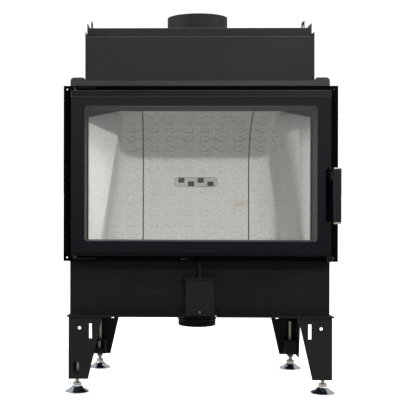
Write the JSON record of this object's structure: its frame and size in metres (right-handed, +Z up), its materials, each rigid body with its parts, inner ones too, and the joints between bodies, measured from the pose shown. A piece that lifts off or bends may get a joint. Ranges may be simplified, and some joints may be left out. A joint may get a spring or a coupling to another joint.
{
  "type": "fireplace insert",
  "caption": "Steel fireplace insert with a vaulted refractory fire chamber, a side-hung glass door with a pull-out handle, an air lever, a flue spigot and levelling feet",
  "frame": {"origin": "On the floor, at the centre of the overall footprint", "axes": "+X to the viewer's right, +Y towards the back, +Z up; the door faces -Y"},
  "size_m": [0.846, 0.535, 1.205],
  "materials": {
    "frame_black": "matt stove paint",
    "casing_black": "matt stove paint",
    "hood_charcoal": "thin matt charcoal paint",
    "bare_steel": "plain steel",
    "refractory": "cast light grey refractory with a brick relief",
    "door_black": "satin black paint",
    "ceramic_glass": "clear ceramic glass with a black printed border",
    "seal_rope": "woven glass rope",
    "bright_steel": "bright nickel",
    "grip_black": "satin black grip",
    "foot_chrome": "bright zinc"
  },
  "bodies": {
    "body": {"front_frame": "frame_black", "front_flange": "casing_black", "casing_jacket": "casing_black", "casing_top_plate": "casing_black", "lower_front_plate": "casing_black", "plenum_shelf": "casing_black", "base_plate": "casing_black", "firebox_front_plate": "hood_charcoal", "firebox_jacket": "bare_steel", "firebox_floor_plate": "bare_steel", "firebox_top_plate": "bare_steel", "hood_jacket": "hood_charcoal", "smoke_box": "hood_charcoal", "smoke_box_top_plate": "hood_charcoal", "smoke_deflector": "bare_steel", "flue_collar": "hood_charcoal", "lifting_lugs": "hood_charcoal", "lining_back": "refractory", "lining_left": "refractory", "lining_right": "refractory", "lining_floor": "refractory", "nozzle_plate": "refractory", "secondary_air_duct": "bare_steel", "air_box": "casing_black", "air_box_lid": "frame_black", "rod_bush": "bare_steel", "air_inlet_collar": "hood_charcoal", "hinge_brackets": "frame_black", "hinge_pins": "bare_steel", "latch_keeper": "bare_steel", "door_rest": "frame_black", "leg_front_left": "casing_black", "leg_front_right": "casing_black", "leg_rear_left": "casing_black", "leg_rear_right": "casing_black", "leg_bolts": "bare_steel", "foot_carriers": "casing_black", "foot_nuts": "bare_steel", "body_screws": "bare_steel"},
    "door": {"door_frame": "door_black", "door_top_rail": "door_black", "door_bottom_rail": "door_black", "door_glass": "ceramic_glass", "glass_seal": "seal_rope", "door_gasket": "seal_rope", "hinge_bushes": "bare_steel", "handle_bracket": "frame_black", "handle_pin": "bare_steel"},
    "handle": {"handle_link": "bright_steel", "handle_grip": "grip_black", "handle_caps": "bright_steel"},
    "air_control": {"air_lever": "bare_steel", "air_rod": "bare_steel", "air_vane": "bare_steel"},
    "foot_front_left_body": {"foot_front_left": "foot_chrome"},
    "foot_front_right_body": {"foot_front_right": "foot_chrome"},
    "foot_rear_left_body": {"foot_rear_left": "foot_chrome"},
    "foot_rear_right_body": {"foot_rear_right": "foot_chrome"}
  },
  "joints": [
    {"name": "door_hinge", "type": "hinge", "parent": "body", "child": "door", "pos_m": [-0.385, -0.1855, 0.683], "axis": [0, 0, -1], "range_deg": [0, 105]},
    {"name": "handle_pivot", "type": "hinge", "parent": "door", "child": "handle", "pos_m": [0.39, -0.1835, 0.678], "axis": [0, 0, 1], "range_deg": [0, 30]},
    {"name": "air_control_turn", "type": "hinge", "parent": "body", "child": "air_control", "pos_m": [0, -0.1325, 0.365], "axis": [0, 0, 1], "range_deg": [0, 100]},
    {"name": "foot_front_left_screw", "type": "slide", "parent": "body", "child": "foot_front_left_body", "axis": [0, 0, -1], "range_m": [-0.01, 0.02]},
    {"name": "foot_front_right_screw", "type": "slide", "parent": "body", "child": "foot_front_right_body", "axis": [0, 0, -1], "range_m": [-0.01, 0.02]},
    {"name": "foot_rear_left_screw", "type": "slide", "parent": "body", "child": "foot_rear_left_body", "axis": [0, 0, -1], "range_m": [-0.01, 0.02]},
    {"name": "foot_rear_right_screw", "type": "slide", "parent": "body", "child": "foot_rear_right_body", "axis": [0, 0, -1], "range_m": [-0.01, 0.02]}
  ]
}
